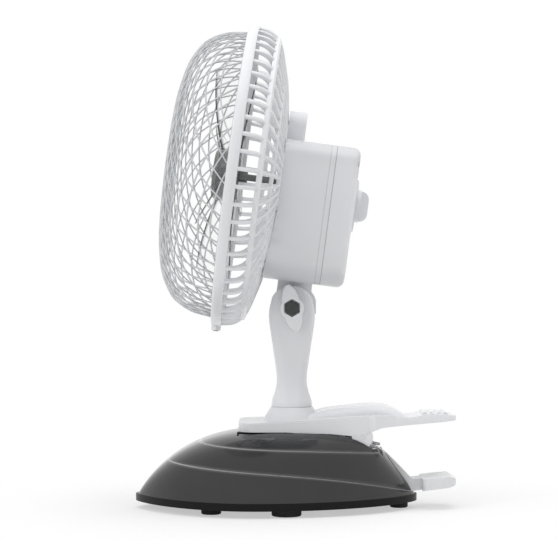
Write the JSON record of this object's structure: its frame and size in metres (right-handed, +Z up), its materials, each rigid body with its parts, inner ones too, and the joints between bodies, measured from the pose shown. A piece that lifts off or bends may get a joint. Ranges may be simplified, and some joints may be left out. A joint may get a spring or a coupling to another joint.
{
  "type": "clip fan",
  "caption": "Small clip fan with a wire front guard, boxy motor housing and tilting stem, its sprung clip docked on a dark boat-shaped desk base.",
  "frame": {"origin": "on the table under the middle of the whole fan", "axes": "+Z up, the fan blows towards -Y, +X is the side of the wing knob"},
  "size_m": [0.18, 0.1898, 0.2868],
  "materials": {
    "white_plastic": "glossy moulded ABS",
    "silver_wire": "bright plated wire",
    "smoky_plastic": "smoky clear plastic",
    "dark_plastic": "matt moulded",
    "black_gloss": "glossy black",
    "black_rubber": "matt rubber",
    "steel": "plain steel",
    "black_steel": "blackened steel",
    "spring_steel": "spring wire",
    "zinc_plate": "zinc plated",
    "lamination": "varnished laminations",
    "copper": "enamelled copper",
    "bronze": "sintered bronze"
  },
  "bodies": {
    "base": {"base_shell": "black_gloss", "base_tray": "black_gloss", "base_feet": "black_rubber", "tray_screws": "steel"},
    "lower_jaw": {"lower_jaw": "white_plastic", "lower_jaw_pad": "black_rubber"},
    "upper_jaw": {"upper_jaw": "white_plastic", "jaw_pin": "steel", "jaw_spring": "spring_steel"},
    "stem": {"stem": "white_plastic", "swivel_screw": "steel", "swivel_washer": "steel", "tilt_nut": "steel"},
    "wing_knob": {"wing_knob": "white_plastic", "tilt_bolt": "black_steel"},
    "head": {"rear_guard": "white_plastic", "guard_screws": "steel", "front_guard_mesh": "silver_wire", "front_guard_ring": "silver_wire", "guard_latch": "white_plastic", "latch_screw": "steel", "stator_core": "lamination", "coil_bobbin": "dark_plastic", "coil_winding": "copper", "front_bracket": "zinc_plate", "rear_bracket": "zinc_plate", "front_bearing": "bronze", "rear_bearing": "bronze", "motor_screws": "steel", "motor_housing": "white_plastic", "rear_cover": "white_plastic", "cover_screws": "steel", "switch_body": "dark_plastic"},
    "rotor": {"fan_blade": "smoky_plastic", "motor_shaft": "steel", "shaft_collar": "steel", "rotor_core": "lamination"},
    "switch_knob": {"switch_knob": "white_plastic", "switch_shaft": "dark_plastic"}
  },
  "joints": [
    {"name": "clip_slide", "type": "slide", "parent": "base", "child": "lower_jaw", "axis": [0, 1, 0], "range_m": [0, 0.11]},
    {"name": "jaw_hinge", "type": "hinge", "parent": "lower_jaw", "child": "upper_jaw", "pos_m": [0, 0.0388, 0.0435], "axis": [-1, 0, 0], "range_deg": [0, 28], "stiffness_Nm_per_rad": 1.4, "springref_deg": -45.84, "deforming": ["jaw_spring"]},
    {"name": "stem_swivel", "type": "hinge", "parent": "upper_jaw", "child": "stem", "pos_m": [0, -0.0022, 0.06], "axis": [0, 0, 1], "range_deg": [-90, 90]},
    {"name": "knob_turn", "type": "hinge", "parent": "stem", "child": "wing_knob", "pos_m": [0, -0.0022, 0.1188], "axis": [1, 0, 0], "continuous": true},
    {"name": "head_tilt", "type": "hinge", "parent": "stem", "child": "head", "pos_m": [0, -0.0022, 0.1188], "axis": [1, 0, 0], "range_deg": [-60, 35]},
    {"name": "blade_spin", "type": "hinge", "parent": "head", "child": "rotor", "pos_m": [0, -0.03975, 0.19748], "axis": [0, 0.9914, -0.1305], "continuous": true},
    {"name": "switch_turn", "type": "hinge", "parent": "head", "child": "switch_knob", "pos_m": [0, 0.03847, 0.1787], "axis": [0, 0.9914, -0.1305], "range_deg": [0, 90]}
  ]
}
